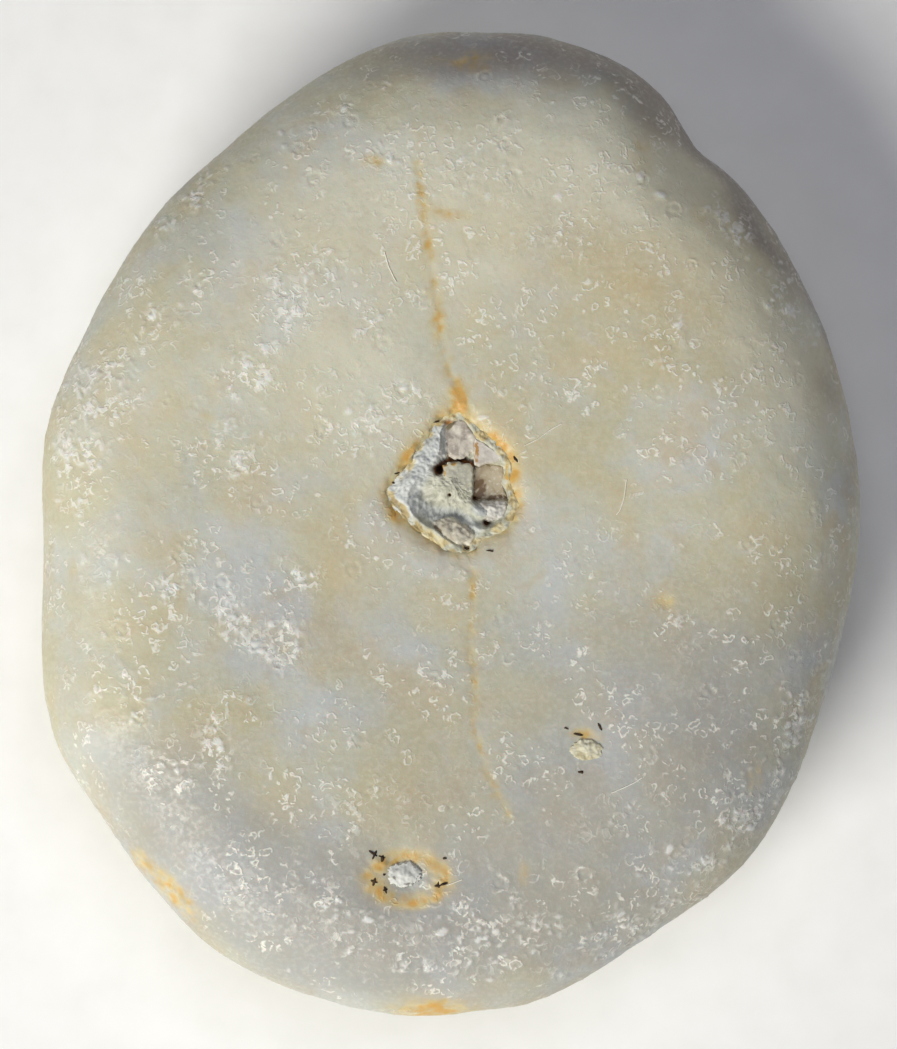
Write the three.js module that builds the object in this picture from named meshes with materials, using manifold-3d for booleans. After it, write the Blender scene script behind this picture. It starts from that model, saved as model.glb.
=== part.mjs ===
// A small sand dollar lying on its domed back, with its mouth side up.
// Millimetres. +Z is up and +Y is towards the animal's front end.
// The origin is on the surface it rests on, under the middle of its outline.
// The test is one grown piece of calcite. Sediment and thin chips of shell are lodged in its mouth,
// and a crumb of sediment sits in the vent and in the bored pit beside it.
import * as THREE from "three";
import { mergeVertices } from "three/addons/utils/BufferGeometryUtils.js";
import Module from "manifold-3d";

const wasm = await Module();
wasm.setup();

// Driving sizes.
const FACE = 5.95; // height of the mouth side round the mouth
const GAP = 0.05; // clearance between neighbouring pieces
const TEST_SEGMENTS = 112;
const PLUG_SEGMENTS = 44;

const curve = (points) =>
  new THREE.CatmullRomCurve3(points.map(([x, y]) => new THREE.Vector3(x, y, 0)), true, "centripetal");

// Height added at (x, y) by soft round bumps, each [x, y, radius, height]; a hollow has a negative height.
const bumps = (list) => (x, y) =>
  list.reduce((sum, [cx, cy, r, h]) => sum + h * Math.exp(-((x - cx) ** 2 + (y - cy) ** 2) / r ** 2), 0);

// A closed body round a centre: the profile, [share of the way out to the outline, height] from the
// bottom pole to the top one, is carried round the outline. relief.at(x, y) is added to its upper
// faces, in full above the height relief.full and not at all below relief.from.
function bodyOn(outline, centre, profile, segments, relief = { at: () => 0, from: 0, full: 1 }) {
  const rim = curve(outline).getSpacedPoints(segments);
  const geometry = new THREE.LatheGeometry(profile.map(([r, z]) => new THREE.Vector2(r, z)), segments);
  const position = geometry.getAttribute("position");
  for (let v = 0; v < position.count; v++) {
    const edge = rim[Math.floor(v / profile.length)];
    const [share, z] = profile[v % profile.length];
    const x = centre[0] + share * (edge.x - centre[0]);
    const y = centre[1] + share * (edge.y - centre[1]);
    const lift = THREE.MathUtils.smoothstep(z, relief.from, relief.full);
    position.setXYZ(v, x, y, z + lift * relief.at(x, y));
  }
  return geometry;
}

function solid(geometry) {
  const plain = geometry.clone();
  plain.deleteAttribute("normal");
  plain.deleteAttribute("uv");
  const merged = mergeVertices(plain, 1e-4);
  return new wasm.Manifold(
    new wasm.Mesh({
      numProp: 3,
      vertProperties: merged.attributes.position.array,
      triVerts: new Uint32Array(merged.index.array),
    }),
  );
}

function geometryOf(manifold) {
  const { numProp, vertProperties, triVerts } = manifold.getMesh();
  const position = new THREE.BufferAttribute(new Float32Array(vertProperties), numProp);
  const geometry = new THREE.BufferGeometry().setAttribute("position", position);
  geometry.setIndex(new THREE.BufferAttribute(triVerts, 1));
  geometry.computeVertexNormals();
  return geometry;
}

// An outline pulled in towards a centre, to clear the wall round it.
const inset = (outline, centre, by) =>
  outline.map(([x, y]) => {
    const share = 1 - by / Math.hypot(x - centre[0], y - centre[1]);
    return [centre[0] + share * (x - centre[0]), centre[1] + share * (y - centre[1])];
  });

const middleOf = (outline) =>
  [0, 1].map((axis) => outline.reduce((sum, point) => sum + point[axis], 0) / outline.length);

const ellipse = ([x, y], rx, ry, count = 10) =>
  Array.from({ length: count }, (_, i) => {
    const turn = (i * 2 * Math.PI) / count;
    return [x + rx * Math.cos(turn), y + ry * Math.sin(turn)];
  });

// The outline of the test, anticlockwise from its right side, with the notch at front right.
const TEST_OUTLINE = [
  [10.0, -0.1], [9.83, 1.75], [9.25, 4.3], [8.07, 6.77], [7.0, 8.35], [6.4, 8.95], [5.68, 9.83],
  [4.95, 10.65], [4.08, 11.22], [2.1, 11.85], [1.0, 11.9], [-0.1, 12.0], [-1.3, 11.8], [-3.8, 10.5],
  [-6.7, 8.0], [-7.35, 7.25], [-8.7, 5.0], [-9.75, 2.6], [-9.95, 0.85], [-9.95, -1.0], [-10.0, -2.7],
  [-9.6, -5.5], [-8.55, -7.1], [-7.4, -8.8], [-5.95, -10.3], [-4.1, -11.35], [-2.1, -11.93],
  [0.0, -12.02], [2.1, -11.72], [3.9, -10.75], [5.5, -9.65], [7.15, -8.45], [8.15, -6.85],
  [8.83, -5.1], [9.4, -3.4],
];

// Half section of the test, from the flat it rests on, over the dome and the thick rounded margin,
// to the mouth side, which dips towards the mouth.
const TEST_PROFILE = [
  [0, 0], [0.15, 0], [0.28, 0.09], [0.41, 0.27], [0.53, 0.5], [0.64, 0.8], [0.74, 1.13], [0.82, 1.5],
  [0.89, 1.95], [0.94, 2.4], [0.975, 2.9], [0.995, 3.4], [1, 3.85], [0.993, 4.3], [0.974, 4.75],
  [0.944, 5.17], [0.905, 5.53], [0.855, 5.82], [0.79, 6.03], [0.71, 6.13], [0.61, 6.14], [0.5, 6.1],
  [0.38, 6.04], [0.25, 5.99], [0.12, 5.96], [0, FACE],
];

// The mouth side undulates: hollows and swellings, each [x, y, radius, height].
const MOUTH_SIDE_RELIEF = [
  [-3.9, -2.4, 2.0, -0.14], // hollow left of and behind the mouth
  [2.4, -3.4, 1.7, -0.08],
  [5.2, -4.4, 1.8, 0.06],
  [0.6, -9.6, 2.2, -0.1], // hollow behind the vent
  [-2.6, 3.6, 2.4, 0.09],
  [1.3, 5.9, 1.3, 0.07], // smooth swelling in front of the mouth
  [-6.9, 1.6, 1.8, -0.07],
  [6.4, 9.0, 1.3, -0.35], // the notch at front right runs up the margin
];

const MOUTH_CENTRE = [0.12, 0.95];
const MOUTH_DEPTH = 1.25;
const MOUTH_OUTLINE = [
  [1.5, 0.54], [1.32, 0.95], [1.35, 1.42], [1.14, 1.75], [0.67, 2.13], [0.28, 2.61], [-0.19, 2.49],
  [-0.48, 2.08], [-0.99, 1.27], [-1.41, 0.83], [-1.46, 0.66], [-1.17, 0.35], [-0.43, -0.29],
  [0.16, -0.61], [0.4, -0.65], [0.7, -0.27], [1.14, -0.12], [1.44, 0.18],
];

const VENT_CENTRE = [-1.12, -8.5];
const VENT_RADII = [0.6, 0.42];
const VENT_DEPTH = 0.8;

const PIT_CENTRE = [3.29, -5.45];
const PIT_OUTLINE = [
  [3.8, -5.45], [3.76, -5.12], [3.55, -5.02], [2.98, -4.98], [2.83, -5.12], [2.78, -5.45], [2.82, -5.72],
  [2.97, -5.84], [3.3, -5.88], [3.6, -5.84], [3.75, -5.72],
];
const PIT_DEPTH = 0.3;
const PIT_LUMP = { centre: [3.29, -5.5], radii: [0.5, 0.34] };

const mouthSide = { at: bumps(MOUTH_SIDE_RELIEF), from: 4, full: 5.8 };
const VENT_FACE = 6.13 + mouthSide.at(...VENT_CENTRE);
const PIT_FACE = 6.13 + mouthSide.at(...PIT_CENTRE);
const OPEN_TOP = 1; // a cutter runs this far above the face

// A hole narrowing a little towards its floor, as a cutter.
function cutter(outline, centre, floor, face) {
  const top = face + OPEN_TOP;
  const profile = [[0, floor], [0.86, floor], [0.94, floor + 0.12], [1, face - 0.1], [1, top], [0, top]];
  return solid(bodyOn(outline, centre, profile, PLUG_SEGMENTS));
}

function makeTest() {
  const body = solid(bodyOn(TEST_OUTLINE, [0, 0], TEST_PROFILE, TEST_SEGMENTS, mouthSide));
  const ventOutline = ellipse(VENT_CENTRE, ...VENT_RADII);
  return geometryOf(
    body
      .subtract(cutter(MOUTH_OUTLINE, MOUTH_CENTRE, FACE - MOUTH_DEPTH, FACE))
      .subtract(cutter(ventOutline, VENT_CENTRE, VENT_FACE - VENT_DEPTH, VENT_FACE))
      .subtract(cutter(PIT_OUTLINE, PIT_CENTRE, PIT_FACE - PIT_DEPTH, PIT_FACE)),
  );
}

// Sediment packed in the mouth: a floor under the chips, a crust up the left wall and a lump inside it.
const SEDIMENT_FLOOR_TOP = 5.3;
const SEDIMENT_LUMPS = [
  [-1.0, 0.85, 0.3, 0.45], [-0.72, 1.3, 0.3, 0.45], [-0.4, 1.8, 0.26, 0.4], [-0.85, 0.4, 0.3, 0.35],
  [-0.32, 0.85, 0.34, 0.28], [0.12, 0.5, 0.34, 0.26], [-0.1, 1.1, 0.25, 0.08],
];

function makeMouthSediment() {
  const foot = FACE - MOUTH_DEPTH + GAP;
  const profile = [
    [0, foot], [0.8, foot], [0.92, foot + 0.15], [0.97, SEDIMENT_FLOOR_TOP - 0.05],
    ...[0.9, 0.75, 0.6, 0.45, 0.3, 0.15, 0].map((share) => [share, SEDIMENT_FLOOR_TOP]),
  ];
  const outline = inset(MOUTH_OUTLINE, MOUTH_CENTRE, GAP);
  const relief = { at: bumps(SEDIMENT_LUMPS), from: foot + 0.15, full: SEDIMENT_FLOOR_TOP };
  return bodyOn(outline, MOUTH_CENTRE, profile, PLUG_SEGMENTS, relief);
}

// A thin chip with softened edges, its underside at height z and tilted by [about X, about Y] degrees.
function chip({ outline, z, thick, tilt = [0, 0] }) {
  const middle = middleOf(outline);
  const profile = [[0, 0], [0.9, 0], [1, 0.3 * thick], [1, 0.7 * thick], [0.9, thick], [0, thick]];
  const geometry = bodyOn(outline, middle, profile, 18);
  return geometry
    .translate(-middle[0], -middle[1], 0)
    .rotateX(THREE.MathUtils.degToRad(tilt[0]))
    .rotateY(THREE.MathUtils.degToRad(tilt[1]))
    .translate(middle[0], middle[1], z);
}

const CHIPS = {
  mouth_chip_front: {
    outline: [
      [-0.2, 2.36], [-0.18, 2.1], [-0.08, 1.85], [0, 1.66], [0.36, 1.63], [0.53, 1.76], [0.56, 2],
      [0.42, 2.3], [0.22, 2.5], [0, 2.46],
    ],
    z: 5.62, thick: 0.16, tilt: [4, 0],
  },
  mouth_chip_front_right: {
    outline: [[0.64, 1.98], [0.62, 1.72], [0.66, 1.42], [0.9, 1.46], [1.24, 1.56], [1.1, 1.7], [0.86, 1.86]],
    z: 5.66, thick: 0.16, tilt: [-3, -3],
  },
  mouth_chip_right: {
    outline: [
      [0.64, 1.3], [0.58, 1.02], [0.6, 0.72], [0.86, 0.6], [1.38, 0.56], [1.26, 0.8], [1.24, 1.1],
      [1.26, 1.36], [0.95, 1.4],
    ],
    z: 5.46, thick: 0.14, tilt: [0, 3],
  },
  mouth_chip_middle: {
    outline: [
      [-0.16, 1.36], [-0.14, 1.05], [0.05, 0.86], [0.4, 0.84], [0.54, 1.1], [0.46, 1.36], [0.15, 1.44],
    ],
    z: 5.68, thick: 0.1, tilt: [-3, 5],
  },
};

// A rounded crumb standing at height z.
function crumb({ outline, z, thick }) {
  const middle = middleOf(outline);
  const section = [[0, 0], [0.7, 0], [0.95, 0.2], [1, 0.45], [0.92, 0.72], [0.7, 0.92], [0.4, 1], [0, 1.03]];
  return bodyOn(outline, middle, section.map(([r, share]) => [r, z + share * thick]), 20);
}

const CRUMBS = {
  mouth_crumb_right: {
    outline: [
      [0.7, 0.5], [0.66, 0.3], [0.85, 0.1], [1.05, 0.02], [1.24, 0.08], [1.36, 0.24], [1.38, 0.46],
      [1.1, 0.5],
    ],
    z: 5.45, thick: 0.38,
  },
  mouth_crumb_back: {
    outline: [
      [-0.42, -0.12], [-0.3, -0.28], [0.05, -0.46], [0.32, -0.54], [0.52, -0.36], [0.42, -0.14], [0.1, 0.05],
      [-0.25, 0.06],
    ],
    z: 5.45, thick: 0.46,
  },
};

// Sediment in a small hole, domed to about the height of the face less the drop low.
function plug(centre, outline, floor, face, low) {
  const foot = floor + GAP;
  const top = face - low;
  const side = [[0.78, foot], [0.9, foot + 0.06], [0.97, top - 0.1], [0.85, top - 0.03]];
  const profile = [[0, foot], ...side, [0.5, top], [0, top + 0.03]];
  return bodyOn(inset(outline, centre, GAP), centre, profile, 24);
}

const CALCITE = { color: 0xc6c1ab, roughness: 0.5, metalness: 0 };
const GREY_SEDIMENT = { color: 0xb5b4b0, roughness: 0.9, metalness: 0 };
const BUFF_SEDIMENT = { color: 0xc9b78e, roughness: 0.9, metalness: 0 };
const CHIP_COLOURS = {
  mouth_chip_front: 0xb8aa9c,
  mouth_chip_front_right: 0xcdc6ba,
  mouth_chip_right: 0xaa9c7e,
  mouth_chip_middle: 0xc7c1a8,
};

const sandDollar = new THREE.Group();

function add(name, geometry, finish) {
  const mesh = new THREE.Mesh(geometry, new THREE.MeshStandardMaterial(finish));
  mesh.name = name;
  sandDollar.add(mesh);
}

add("test", makeTest(), CALCITE);
add("mouth_sediment", makeMouthSediment(), GREY_SEDIMENT);
for (const [name, piece] of Object.entries(CHIPS)) {
  add(name, chip(piece), { ...CALCITE, color: CHIP_COLOURS[name] });
}
for (const [name, piece] of Object.entries(CRUMBS)) {
  add(name, crumb(piece), GREY_SEDIMENT);
}
add(
  "vent_sediment",
  plug(VENT_CENTRE, ellipse(VENT_CENTRE, ...VENT_RADII), VENT_FACE - VENT_DEPTH, VENT_FACE, 0.05),
  GREY_SEDIMENT,
);
add(
  "pit_sediment",
  plug(PIT_LUMP.centre, ellipse(PIT_LUMP.centre, ...PIT_LUMP.radii), PIT_FACE - PIT_DEPTH, PIT_FACE, 0),
  BUFF_SEDIMENT,
);

export default sandDollar;
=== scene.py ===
"""A small fossil sand dollar lying on its dome with the mouth side up, seen from straight above."""

import math

import bmesh
import bpy
import numpy as np
from mathutils import Matrix, Vector, noise
from mathutils.kdtree import KDTree


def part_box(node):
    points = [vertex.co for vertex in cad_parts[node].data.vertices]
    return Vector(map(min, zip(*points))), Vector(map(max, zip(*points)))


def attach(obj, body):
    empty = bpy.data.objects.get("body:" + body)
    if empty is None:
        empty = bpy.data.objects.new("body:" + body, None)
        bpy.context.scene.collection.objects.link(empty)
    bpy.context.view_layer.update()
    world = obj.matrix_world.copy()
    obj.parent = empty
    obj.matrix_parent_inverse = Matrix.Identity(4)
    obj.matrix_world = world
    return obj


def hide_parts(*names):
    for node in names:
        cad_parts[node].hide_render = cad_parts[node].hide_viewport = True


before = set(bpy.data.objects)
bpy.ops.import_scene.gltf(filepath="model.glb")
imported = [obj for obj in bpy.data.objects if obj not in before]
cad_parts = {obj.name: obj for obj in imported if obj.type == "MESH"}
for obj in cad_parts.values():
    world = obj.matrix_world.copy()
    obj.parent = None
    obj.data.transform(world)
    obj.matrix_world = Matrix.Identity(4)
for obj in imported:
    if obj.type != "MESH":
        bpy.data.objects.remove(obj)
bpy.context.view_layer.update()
MM = 0.001


# The camera looks straight down on the mouth side through a 300 mm lens. The shell's widest level
# is the one that fills the frame, and the picture is 897 x 1049.
FRAME_HEIGHT = 25.64 * MM
WIDEST_LEVEL = 3.85 * MM
LENS, SENSOR = 300, 36
camera_data = bpy.data.cameras.new("camera")
camera_data.lens = LENS
camera_data.sensor_width = SENSOR
camera_data.clip_start = 1 * MM
camera_data.clip_end = 10
camera = bpy.data.objects.new("camera", camera_data)
camera.location = (-0.05 * MM, -0.04 * MM, WIDEST_LEVEL + FRAME_HEIGHT * LENS / SENSOR)
bpy.context.scene.collection.objects.link(camera)
bpy.context.scene.camera = camera
bpy.context.scene.view_settings.view_transform = "Standard"


# The light is a large soft box low down at the left, beyond the vent, with a weaker one high above
# and a weak cool fill from all round, so the front and right of the margin fall into shade. The floor
# is matt white card.
def srgb(code):
    """A hex colour as the linear colour that shaders use."""
    values = [int(code[i : i + 2], 16) / 255 for i in (1, 3, 5)]
    return [v / 12.92 if v <= 0.04045 else ((v + 0.055) / 1.055) ** 2.4 for v in values] + [1]


def soft_box(name, place, size, power, colour):
    """A round area light turned towards the object, its place and width in mm and its power in watts."""
    data = bpy.data.lights.new(name, "AREA")
    data.shape = "DISK"
    data.size = size * MM
    data.energy = power
    data.color = srgb(colour)[:3]
    light = bpy.data.objects.new(name, data)
    light.location = Vector(place) * MM
    light.rotation_euler = light.location.to_track_quat("Z", "Y").to_euler()
    bpy.context.scene.collection.objects.link(light)


soft_box("key", (-108, -127, 132), 120, 0.46, "#FFFDF6")
soft_box("top", (20, 70, 300), 180, 0.22, "#F8F8FF")

world = bpy.data.worlds.new("room")
world.use_nodes = True
world.node_tree.nodes["Background"].inputs["Color"].default_value = srgb("#C4C8DA")
world.node_tree.nodes["Background"].inputs["Strength"].default_value = 0.12
bpy.context.scene.world = world


def material(name):
    """A new material with no nodes in it yet."""
    made = bpy.data.materials.new(name)
    made.use_nodes = True
    made.node_tree.nodes.clear()
    return made


def node(made, kind, settings=None, **inputs):
    """Adds a node. settings are its properties, or a ramp's stops. inputs go to sockets by name, with _ for
    a space: each is a number, a hex colour, a node or a (node, output name) pair."""
    new = made.node_tree.nodes.new(kind)
    for key, value in (settings or {}).items():
        if key != "stops":
            setattr(new, key, value)
            continue
        while len(new.color_ramp.elements) < len(value):
            new.color_ramp.elements.new(0.5)
        for element, (position, code) in zip(new.color_ramp.elements, value):
            element.position = position
            element.color = srgb(code)
    for key, value in inputs.items():
        socket = next(
            s for s in new.inputs if s.enabled and key in (s.name.replace(" ", "_"), s.identifier)
        )
        paired = isinstance(value, tuple) and isinstance(value[0], bpy.types.Node)
        source, output = value if paired else (value, None)
        if isinstance(source, bpy.types.Node):
            outlet = next(o for o in source.outputs if o.enabled and output in (None, o.name))
            made.node_tree.links.new(outlet, socket)
        else:
            socket.default_value = srgb(value) if isinstance(value, str) else value
    return new


card = material("matt_white_card")
place = node(card, "ShaderNodeTexCoord")
fibre = node(card, "ShaderNodeTexNoise", Vector=(place, "Object"), Scale=900, Detail=3)
colour = node(card, "ShaderNodeValToRGB", {"stops": [(0.3, "#F8F8F6"), (0.7, "#FDFDFC")]}, Fac=fibre)
shader = node(card, "ShaderNodeBsdfPrincipled", Base_Color=colour, Roughness=0.9)
node(card, "ShaderNodeOutputMaterial", Surface=shader)

floor_bm = bmesh.new()
bmesh.ops.create_grid(floor_bm, x_segments=1, y_segments=1, size=600 * MM)
floor_mesh = bpy.data.meshes.new("floor")
floor_bm.to_mesh(floor_mesh)
floor_bm.free()
floor_mesh.materials.append(card)
floor = bpy.data.objects.new("floor", floor_mesh)
bpy.context.scene.collection.objects.link(floor)


# The test is one grown piece of calcite, worn and turned to stone. Its mouth side carries a mouth,
# a vent at the back, worn ring-shaped spine bases, and stained seams between its plates. The domed
# side that it lies on carries five petals of pore pairs round an apical disc.
MOUTH = np.array([0.12, 0.95])
MOUTH_RIM = [
    (1.5, 0.54), (1.32, 0.95), (1.35, 1.42), (1.14, 1.75), (0.67, 2.13), (0.28, 2.61), (-0.19, 2.49),
    (-0.48, 2.08), (-0.99, 1.27), (-1.41, 0.83), (-1.46, 0.66), (-1.17, 0.35), (-0.43, -0.29),
    (0.16, -0.61), (0.4, -0.65), (0.7, -0.27), (1.14, -0.12), (1.44, 0.18),
]
VENT = np.array([-1.12, -8.55])
PIT = np.array([3.29, -5.45])
DIMPLE = np.array([5.2, -1.96])
FRONT_SEAM = [
    (0.23, 3.1), (-0.08, 3.85), (-0.26, 4.7), (-0.34, 5.6), (-0.46, 6.2), (-0.62, 7.3), (-0.8, 8.6),
]
BACK_SEAM = [
    (0.52, -1.15), (0.55, -1.9), (0.46, -2.85), (0.58, -3.8), (0.56, -4.8), (0.72, -5.55),
    (1.08, -6.5), (1.45, -7.15),
]
# Levels in mm above the floor: the domed side lies below DOME, and the mouth side above MARGIN. The
# crusts, dabs and dirt are on its face, above FACE.
DOME, MARGIN, FACE = 2.2, 3.1, 3.4


def spot(points, x, y, across, along=None, turn=0.0):
    """A soft round or oval patch: 1 at (x, y), fading out over its half-widths in mm."""
    dx, dy = points[:, 0] - x, points[:, 1] - y
    c, s = math.cos(math.radians(turn)), math.sin(math.radians(turn))
    u, v = (c * dx + s * dy) / across, (-s * dx + c * dy) / (along or across)
    return np.exp(-(u * u + v * v))


def patches(points, places):
    """Several patches added up, each [x, y, half-width, half-length, turn, strength]."""
    return sum(strength * spot(points, *place) for *place, strength in places)


def band(distance, centre, width):
    """1 at that distance, fading out over the width on both sides of it."""
    return np.exp(-(((distance - centre) / width) ** 2))


def from_line(points, line):
    """How far each point lies from a line through several points, seen from above."""
    best = np.full(len(points), np.inf)
    for a, b in zip(np.array(line[:-1]), np.array(line[1:])):
        step = b - a
        t = np.clip(((points[:, :2] - a) @ step) / (step @ step), 0, 1)
        best = np.minimum(best, np.linalg.norm(points[:, :2] - a - t[:, None] * step, axis=1))
    return best


def rough(points, grain, seed=0.0, octaves=1):
    """Smooth random relief of about -1 to 1 with features of that many mm."""
    return np.array([
        sum(noise.noise(Vector(p) * (2**k / grain) + Vector((seed, 0, 0))) / 2**k for k in range(octaves))
        for p in points
    ])


def smoothstep(value, low, high):
    """0 up to low, 1 from high on, and a smooth rise between them."""
    t = np.clip((value - low) / (high - low), 0, 1)
    return t * t * (3 - 2 * t)


def read_points(mesh):
    """A mesh's points in mm, one row each."""
    values = np.empty(len(mesh.vertices) * 3)
    mesh.vertices.foreach_get("co", values)
    return values.reshape(-1, 3) / MM


def read_normals(mesh):
    values = np.empty(len(mesh.vertices) * 3)
    mesh.vertex_normals.foreach_get("vector", values)
    return values.reshape(-1, 3)


def set_points(mesh, points):
    """Puts a mesh's points at those places in mm."""
    mesh.vertices.foreach_set("co", (points * MM).ravel())
    mesh.update()


def set_attributes(mesh, **attributes):
    """Gives each point a value from 0 to 1 under each name, for the material to read."""
    for name, values in attributes.items():
        values = np.clip(values, 0, 1).astype(np.float32)
        mesh.attributes.new(name, "FLOAT", "POINT").data.foreach_set("value", values)


MERGE = 0.002 * MM


def merged_copy(node_name):
    """A node's mesh with its loose triangles joined up, to be worked on."""
    made = bmesh.new()
    made.from_mesh(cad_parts[node_name].data)
    bmesh.ops.remove_doubles(made, verts=made.verts, dist=MERGE)
    return made


def meshed(made, name):
    """The mesh of a bmesh, which is then freed."""
    mesh = bpy.data.meshes.new(name)
    made.to_mesh(mesh)
    made.free()
    return mesh


def piece(name, mesh, finish, node_name=None):
    """Puts a finished mesh in the scene as a smooth-shaded piece, which may stand for a node."""
    mesh.polygons.foreach_set("use_smooth", [True] * len(mesh.polygons))
    mesh.materials.clear()
    mesh.materials.append(finish)
    built = bpy.data.objects.new(name, mesh)
    bpy.context.scene.collection.objects.link(built)
    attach(built, "root")
    if node_name:
        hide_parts(node_name)


def evaluated_mesh(built):
    """What an object's modifiers or curve settings make of it, as a plain mesh."""
    return bpy.data.meshes.new_from_object(built.evaluated_get(bpy.context.evaluated_depsgraph_get()))


def evened(made, voxel):
    """The same solid with an even net of small square faces, voxel mm across."""
    blank = bpy.data.objects.new("blank", meshed(made, "blank"))
    bpy.context.scene.collection.objects.link(blank)
    net = blank.modifiers.new("even_net", "REMESH")
    net.mode = "VOXEL"
    net.voxel_size = voxel * MM
    even = evaluated_mesh(blank)
    bpy.data.objects.remove(blank)
    result = bmesh.new()
    result.from_mesh(even)
    return result


def centres_of(made):
    """The middles of a net's faces in mm."""
    made.faces.ensure_lookup_table()
    return np.array([f.calc_center_median() for f in made.faces]) / MM


def smoothed(made, verts, times, factor=0.5):
    """Draws points towards their neighbours, several times."""
    for _ in range(times):
        bmesh.ops.smooth_vert(
            made, verts=verts, factor=factor, use_axis_x=True, use_axis_y=True, use_axis_z=True,
        )


def split(made, wanted):
    """Halves the net where wanted(centres in mm) says so, and rounds the new points off."""
    edges = {e for index in np.flatnonzero(wanted(centres_of(made))) for e in made.faces[index].edges}
    result = bmesh.ops.subdivide_edges(
        made, edges=list(edges), cuts=1, use_grid_fill=True, use_single_edge=True,
    )
    smoothed(made, [g for g in result["geom_inner"] if isinstance(g, bmesh.types.BMVert)], times=2)


def scatter(made, count, spacing, seed):
    """Random places in mm on a net, no closer than spacing(points, dice)."""
    centres = centres_of(made)
    areas = np.array([f.calc_area() for f in made.faces])
    dice = np.random.default_rng(seed)
    picked = dice.choice(len(centres), size=count, p=areas / areas.sum())
    kept, widths = [], []
    for p, width in zip(centres[picked], spacing(centres[picked], dice)):
        if kept:
            gaps = np.linalg.norm(np.array(kept) - p, axis=1) - 0.5 * (np.array(widths) + width)
        if not kept or np.min(gaps) > 0:
            kept.append(p)
            widths.append(width)
    return np.array(kept)


NET = 0.24  # mm between points before the finer parts are split
shell_bm = evened(merged_copy("test"), NET)


def in_hollows(points):
    """Which points lie in the mouth, and which in the vent or the pit."""
    x, y, z = points.T
    mouth = (np.hypot(x - MOUTH[0], y - MOUTH[1]) < 2.1) & (z > 4.4)
    vent = (np.hypot(x - VENT[0], y - VENT[1]) < 0.9) & (z > 4.8)
    pit = (np.hypot(x - PIT[0], y - PIT[1]) < 0.75) & (z > 5)
    return mouth, vent | pit


# The net's steps are smoothed away, least in the mouth, whose walls are steep, and the smoothed shell
# is stretched back to its full size.
sharp = in_hollows(np.array([v.co for v in shell_bm.verts]) / MM)[0]
smoothed(shell_bm, [v for v, keep in zip(shell_bm.verts, sharp) if not keep], times=18)
smoothed(shell_bm, shell_bm.verts, times=3, factor=0.4)
corners = np.array([v.co for v in shell_bm.verts])
low, high = corners.min(0), corners.max(0)
cad_low, cad_high = (np.array(corner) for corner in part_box("test"))
bmesh.ops.translate(shell_bm, verts=shell_bm.verts, vec=Vector(-low))
bmesh.ops.scale(shell_bm, verts=shell_bm.verts, vec=Vector((cad_high - cad_low) / (high - low)))
bmesh.ops.translate(shell_bm, verts=shell_bm.verts, vec=Vector(cad_low))

# Five petals on the domed side: two rows of pore pairs each, from near the apex towards the margin.
PETAL_TURNS = [90, 18, 162, 234, 306]
PETAL_START, PETAL_LENGTH, PETAL_HALF_WIDTH = 1.5, 5.4, 0.82
PORE_STEP, PORE_APART = 0.26, 0.2
GONOPORE_TURNS, GONOPORE_REACH = (54, 126, 198, 342), 0.55


def petal_places():
    """The pores of every petal, seen from above."""
    places = []
    for turn in PETAL_TURNS:
        out = np.array([math.cos(math.radians(turn)), math.sin(math.radians(turn))])
        side = np.array([-out[1], out[0]])
        for step in range(int(PETAL_LENGTH / PORE_STEP)):
            share = (step + 0.5) * PORE_STEP / PETAL_LENGTH
            half = PETAL_HALF_WIDTH * (0.18 + 0.82 * math.sin(math.pi * min(share * 0.86, 1)) ** 0.8)
            for hand in (-1, 1):
                middle = out * (PETAL_START + share * PETAL_LENGTH) + hand * side * half
                places += [middle - hand * side * PORE_APART / 2, middle + hand * side * PORE_APART / 2]
    return np.array(places)


def nearest(points, places):
    """Distance to the nearest place and which one it is, seen from above if the places have no height."""
    flat = len(places[0]) == 2
    tree = KDTree(len(places))
    for index, place in enumerate(places):
        tree.insert((*place, 0) if flat else place, index)
    tree.balance()
    found = [tree.find((p[0], p[1], 0) if flat else p) for p in points]
    return np.array([f[2] for f in found]), np.array([f[1] for f in found])


PORES = petal_places()
GONOPORES = [
    (GONOPORE_REACH * math.cos(math.radians(turn)), GONOPORE_REACH * math.sin(math.radians(turn)))
    for turn in GONOPORE_TURNS
]
split(shell_bm, lambda c: (c[:, 2] > MARGIN) | ((c[:, 2] < DOME) & (nearest(c, PORES)[0] < 0.45)))

# Spine bases, each a boss in a sunk ring, on both sides, sparser on the domed one. The clearest on
# the mouth side are [x, y, radius].
CLEAR_RINGS = [
    (1.23, 9.8, 0.19), (1.29, 9.2, 0.17), (1.5, 8.38, 0.19), (3.33, 9.65, 0.18), (-1.11, 3.25, 0.2),
    (-5.1, 1.42, 0.2), (-6.33, -1.34, 0.2), (-5.52, -1.43, 0.17), (-4.17, -3.35, 0.17),
    (-4.68, 0.49, 0.17), (1.2, -8.73, 0.19), (3.24, -8.53, 0.2), (1.14, -10.02, 0.2),
    (-1.56, -10.88, 0.17), (7.37, -6.16, 0.18), (0.28, -1.27, 0.16), (5.0, 3.1, 0.17),
    (6.2, -4.1, 0.18),
]
CLEAR_RING_LEVEL = 6.1
SPINE_TRIES = 9000
spread = scatter(
    shell_bm, SPINE_TRIES,
    lambda p, dice: dice.uniform(0.58, 1.0, len(p)) + 0.9 * (p[:, 2] < MARGIN), seed=11,
)
spread = spread[~np.any(in_hollows(spread), axis=0)]
spread = spread[nearest(spread, [ring[:2] for ring in CLEAR_RINGS])[0] > 0.55]
dice = np.random.default_rng(5)
clear = np.array(CLEAR_RINGS)
tubercles = np.vstack([spread, np.column_stack([clear[:, :2], np.full(len(clear), CLEAR_RING_LEVEL)])])
tubercle_sizes = np.append(dice.uniform(0.12, 0.2, len(spread)), clear[:, 2])
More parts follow.
